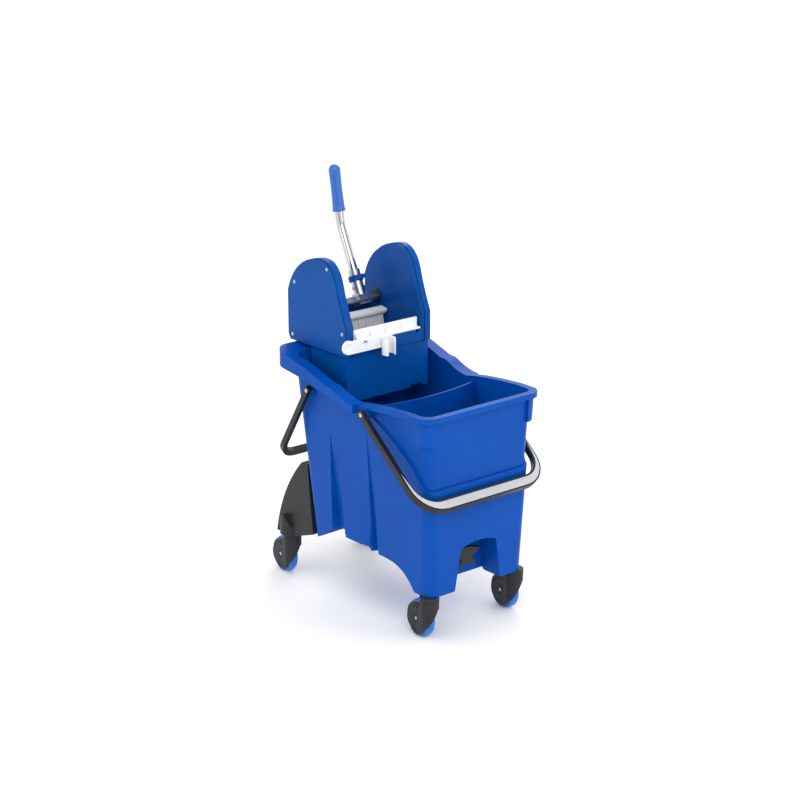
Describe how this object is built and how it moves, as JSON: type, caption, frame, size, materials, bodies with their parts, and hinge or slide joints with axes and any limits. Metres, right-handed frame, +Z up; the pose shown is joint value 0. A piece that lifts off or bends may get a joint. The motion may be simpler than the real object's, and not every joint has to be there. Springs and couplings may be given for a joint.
{
  "type": "mop bucket with wringer",
  "caption": "two-chamber mop bucket on swivel casters with carrying bails, drain tap and a lever-worked press wringer",
  "frame": {"origin": "on the floor, under the centre of the bounding box", "axes": "+Z up, front of the bucket faces -Y, +X to the right seen from the front"},
  "size_m": [0.352, 0.5917, 0.9022],
  "materials": {
    "bucket_plastic": "moulded polypropylene, fine grain",
    "wringer_plastic": "moulded polypropylene",
    "caster_plastic": "glass filled nylon",
    "black_plastic": "black nylon",
    "grip_grey": "light grey soft touch plastic",
    "white_plastic": "white acetal",
    "tyre_rubber": "blue thermoplastic rubber",
    "grip_blue": "blue hand grip",
    "zinc_steel": "zinc plated steel",
    "chromed_steel": "chromed steel tube"
  },
  "bodies": {
    "bucket": {"bucket_shell": "bucket_plastic", "bracket_left": "caster_plastic", "bracket_right": "caster_plastic", "caster_sockets": "caster_plastic", "bail_pins": "zinc_steel", "drain_valve": "black_plastic", "drain_seal": "black_plastic"},
    "front_bail": {"front_bail": "black_plastic", "front_bail_grip": "grip_grey"},
    "rear_bail": {"rear_bail": "black_plastic"},
    "drain_tap": {"drain_tap": "black_plastic"},
    "wringer": {"wringer_shell_left": "wringer_plastic", "wringer_shell_right": "wringer_plastic", "wringer_cover_left": "wringer_plastic", "wringer_cover_right": "wringer_plastic", "cover_screws": "zinc_steel", "wringer_front_wall": "wringer_plastic", "wringer_rear_wall": "wringer_plastic", "sieve_floor": "wringer_plastic", "shaft_bush_left": "black_plastic", "shaft_bush_right": "black_plastic", "front_press_plate": "white_plastic", "handle_clip": "white_plastic"},
    "lever": {"cross_shaft": "zinc_steel", "drive_gear_left": "caster_plastic", "drive_gear_right": "caster_plastic", "lever_socket": "zinc_steel", "lock_pin": "zinc_steel", "lever_collar": "wringer_plastic", "lever_rod": "chromed_steel", "lever_grip": "grip_blue"},
    "press_plate": {"rear_press_plate": "grip_grey", "plate_gear_left": "caster_plastic", "plate_gear_right": "caster_plastic"},
    "caster_front_left": {"stem_front_left": "zinc_steel", "yoke_front_left": "caster_plastic", "axle_front_left": "zinc_steel"},
    "wheel_front_left": {"hub_front_left": "caster_plastic", "tyre_front_left": "tyre_rubber"},
    "caster_front_right": {"stem_front_right": "zinc_steel", "yoke_front_right": "caster_plastic", "axle_front_right": "zinc_steel"},
    "wheel_front_right": {"hub_front_right": "caster_plastic", "tyre_front_right": "tyre_rubber"},
    "caster_rear_left": {"stem_rear_left": "zinc_steel", "yoke_rear_left": "caster_plastic", "axle_rear_left": "zinc_steel"},
    "wheel_rear_left": {"hub_rear_left": "caster_plastic", "tyre_rear_left": "tyre_rubber"},
    "caster_rear_right": {"stem_rear_right": "zinc_steel", "yoke_rear_right": "caster_plastic", "axle_rear_right": "zinc_steel"},
    "wheel_rear_right": {"hub_rear_right": "caster_plastic", "tyre_rear_right": "tyre_rubber"}
  },
  "joints": [
    {"name": "front_bail_hinge", "type": "hinge", "parent": "bucket", "child": "front_bail", "pos_m": [0, -0.08769, 0.465], "axis": [1, 0, 0], "range_deg": [-125, 0]},
    {"name": "rear_bail_hinge", "type": "hinge", "parent": "bucket", "child": "rear_bail", "pos_m": [0, 0.10431, 0.47], "axis": [1, 0, 0], "range_deg": [0, 60]},
    {"name": "drain_tap_turn", "type": "hinge", "parent": "bucket", "child": "drain_tap", "pos_m": [-0.008, -0.22569, 0.158], "axis": [0, 1, 0], "range_deg": [0, 90]},
    {"name": "wringer_lift", "type": "slide", "parent": "bucket", "child": "wringer", "axis": [0, 0, 1], "range_m": [0, 0.2]},
    {"name": "lever_pull", "type": "hinge", "parent": "wringer", "child": "lever", "pos_m": [0, 0.18531, 0.617], "axis": [1, 0, 0], "range_deg": [0, 80]},
    {"name": "press_plate_swing", "type": "hinge", "parent": "wringer", "child": "press_plate", "pos_m": [0, 0.15881, 0.5905], "axis": [1, 0, 0], "range_deg": [-41, 1]},
    {"name": "swivel_front_left", "type": "hinge", "parent": "bucket", "child": "caster_front_left", "pos_m": [-0.119, -0.24269, 0.08], "axis": [0, 0, 1], "continuous": true},
    {"name": "roll_front_left", "type": "hinge", "parent": "caster_front_left", "child": "wheel_front_left", "pos_m": [-0.11379, -0.21315, 0.04], "axis": [0.9848, -0.1736, 0], "continuous": true},
    {"name": "swivel_front_right", "type": "hinge", "parent": "bucket", "child": "caster_front_right", "pos_m": [0.119, -0.24269, 0.08], "axis": [0, 0, 1], "continuous": true},
    {"name": "roll_front_right", "type": "hinge", "parent": "caster_front_right", "child": "wheel_front_right", "pos_m": [0.12421, -0.21315, 0.04], "axis": [0.9848, -0.1736, 0], "continuous": true},
    {"name": "swivel_rear_left", "type": "hinge", "parent": "bucket", "child": "caster_rear_left", "pos_m": [-0.119, 0.22681, 0.08], "axis": [0, 0, 1], "continuous": true},
    {"name": "roll_rear_left", "type": "hinge", "parent": "caster_rear_left", "child": "wheel_rear_left", "pos_m": [-0.11379, 0.25635, 0.04], "axis": [0.9848, -0.1736, 0], "continuous": true},
    {"name": "swivel_rear_right", "type": "hinge", "parent": "bucket", "child": "caster_rear_right", "pos_m": [0.119, 0.22681, 0.08], "axis": [0, 0, 1], "continuous": true},
    {"name": "roll_rear_right", "type": "hinge", "parent": "caster_rear_right", "child": "wheel_rear_right", "pos_m": [0.12421, 0.25635, 0.04], "axis": [0.9848, -0.1736, 0], "continuous": true}
  ],
  "couplings": [
    {"joint": "press_plate_swing", "follows": "lever_pull", "ratio": -0.5}
  ]
}
